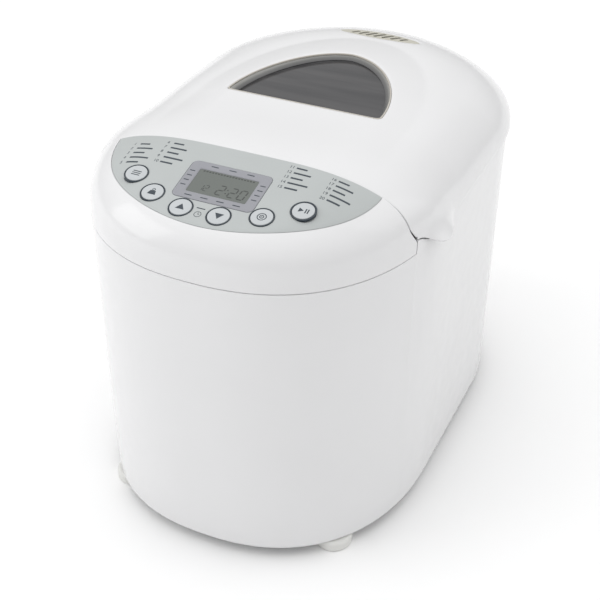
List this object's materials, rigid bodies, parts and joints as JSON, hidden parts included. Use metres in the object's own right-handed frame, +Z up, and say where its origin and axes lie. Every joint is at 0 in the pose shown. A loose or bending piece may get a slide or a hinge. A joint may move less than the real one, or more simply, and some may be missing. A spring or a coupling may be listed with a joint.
{
  "type": "bread machine",
  "caption": "Countertop bread machine with a domed hinged lid, viewing window, steam vent, sloping control panel, and a lift-out pan with kneading paddle over a belt drive.",
  "frame": {"origin": "centre of the footprint on the table, under the middle of the overall box", "axes": "+Z up, -Y towards the control panel at the front, +X to the right as seen from the front"},
  "size_m": [0.272, 0.3886, 0.2854],
  "materials": {
    "bezel": "satin lavender grey",
    "black_rubber": "moulded black",
    "board": "green solder resist",
    "button": "satin pale grey",
    "ceramic": null,
    "coated": "dark non-stick coating",
    "copper": "iron laminations and copper windings as one solid",
    "dark": "moulded dark grey",
    "glass": "tinted, polished",
    "grille": "moulded warm grey",
    "lens": "clear window over the display, grey green",
    "panel": "satin printed film, pale green grey",
    "rubber": "moulded off-white",
    "sheath": "heat-darkened sheath",
    "sheet": "pressed plated sheet",
    "shell": "moulded, polished white",
    "steel": "turned or drawn",
    "trim": "moulded beige grey"
  },
  "bodies": {
    "housing": {"lower_housing": "shell", "base_plate": "sheet", "top_cover": "shell", "panel_overlay": "panel", "display_bezel": "bezel", "display_lens": "lens", "lcd_module": "dark", "control_board": "board", "baking_chamber": "sheet", "heating_element": "sheath", "heater_insulator_left": "ceramic", "heater_insulator_right": "ceramic", "temperature_sensor": "steel", "pan_seat": "steel", "bearing_housing": "steel", "chamber_bracket_right": "sheet", "chamber_bracket_left": "sheet", "motor_body": "copper", "motor_bracket": "sheet", "motor_capacitor": "dark", "power_board": "board", "drive_belt": "black_rubber", "cord_gland": "dark", "hinge_pin": "steel", "foot_front_left": "rubber", "base_screw_front_left": "steel", "foot_front_right": "rubber", "base_screw_front_right": "steel", "foot_rear_left": "rubber", "base_screw_rear_left": "steel", "foot_rear_right": "rubber", "base_screw_rear_right": "steel"},
    "lid": {"lid_shell": "shell", "window_trim": "trim", "window_glass": "glass", "vent_grille": "grille", "lid_liner": "sheet", "inner_glass": "glass", "lid_seal": "rubber"},
    "pan": {"bread_pan": "coated", "pan_base_ring": "steel", "pan_bush": "steel"},
    "pan_bail": {"pan_handle": "steel"},
    "paddle": {"kneading_paddle": "coated", "pan_shaft": "steel", "pan_coupling": "steel"},
    "drive": {"drive_shaft": "steel", "drive_pulley": "dark", "drive_coupling": "steel"},
    "motor_rotor": {"motor_shaft": "steel", "motor_pulley": "dark"},
    "menu_button_key": {"menu_button": "button"},
    "weight_button_key": {"weight_button": "button"},
    "time_up_button_key": {"time_up_button": "button"},
    "time_down_button_key": {"time_down_button": "button"},
    "colour_button_key": {"colour_button": "button"},
    "start_button_key": {"start_button": "button"}
  },
  "joints": [
    {"name": "lid_hinge", "type": "hinge", "parent": "housing", "child": "lid", "pos_m": [0, 0.19, 0.2405], "axis": [-1, 0, 0], "range_deg": [0, 78]},
    {"name": "pan_lift", "type": "slide", "parent": "housing", "child": "pan", "axis": [0, 0, 1], "range_m": [0, 0.04]},
    {"name": "bail_swing", "type": "hinge", "parent": "pan", "child": "pan_bail", "pos_m": [0, 0.037, 0.203], "axis": [1, 0, 0], "range_deg": [0, 90]},
    {"name": "drive_spin", "type": "hinge", "parent": "housing", "child": "drive", "pos_m": [0, 0.037, 0.025], "axis": [0, 0, 1], "continuous": true},
    {"name": "paddle_spin", "type": "hinge", "parent": "pan", "child": "paddle", "pos_m": [0, 0.037, 0.08], "axis": [0, 0, 1], "continuous": true},
    {"name": "motor_spin", "type": "hinge", "parent": "housing", "child": "motor_rotor", "pos_m": [0, -0.135, 0.025], "axis": [0, 0, 1], "continuous": true},
    {"name": "menu_button_press", "type": "slide", "parent": "housing", "child": "menu_button_key", "axis": [0, 0.225, -0.9744], "range_m": [0, 0.0008], "stiffness_N_per_m": 900, "springref_m": -0.0006},
    {"name": "weight_button_press", "type": "slide", "parent": "housing", "child": "weight_button_key", "axis": [0, 0.225, -0.9744], "range_m": [0, 0.0008], "stiffness_N_per_m": 900, "springref_m": -0.0006},
    {"name": "time_up_button_press", "type": "slide", "parent": "housing", "child": "time_up_button_key", "axis": [0, 0.225, -0.9744], "range_m": [0, 0.0008], "stiffness_N_per_m": 900, "springref_m": -0.0006},
    {"name": "time_down_button_press", "type": "slide", "parent": "housing", "child": "time_down_button_key", "axis": [0, 0.225, -0.9744], "range_m": [0, 0.0008], "stiffness_N_per_m": 900, "springref_m": -0.0006},
    {"name": "colour_button_press", "type": "slide", "parent": "housing", "child": "colour_button_key", "axis": [0, 0.225, -0.9744], "range_m": [0, 0.0008], "stiffness_N_per_m": 900, "springref_m": -0.0006},
    {"name": "start_button_press", "type": "slide", "parent": "housing", "child": "start_button_key", "axis": [0, 0.225, -0.9744], "range_m": [0, 0.0008], "stiffness_N_per_m": 900, "springref_m": -0.0006}
  ],
  "couplings": [
    {"joint": "paddle_spin", "follows": "drive_spin", "ratio": 1},
    {"joint": "motor_spin", "follows": "drive_spin", "ratio": 4}
  ]
}
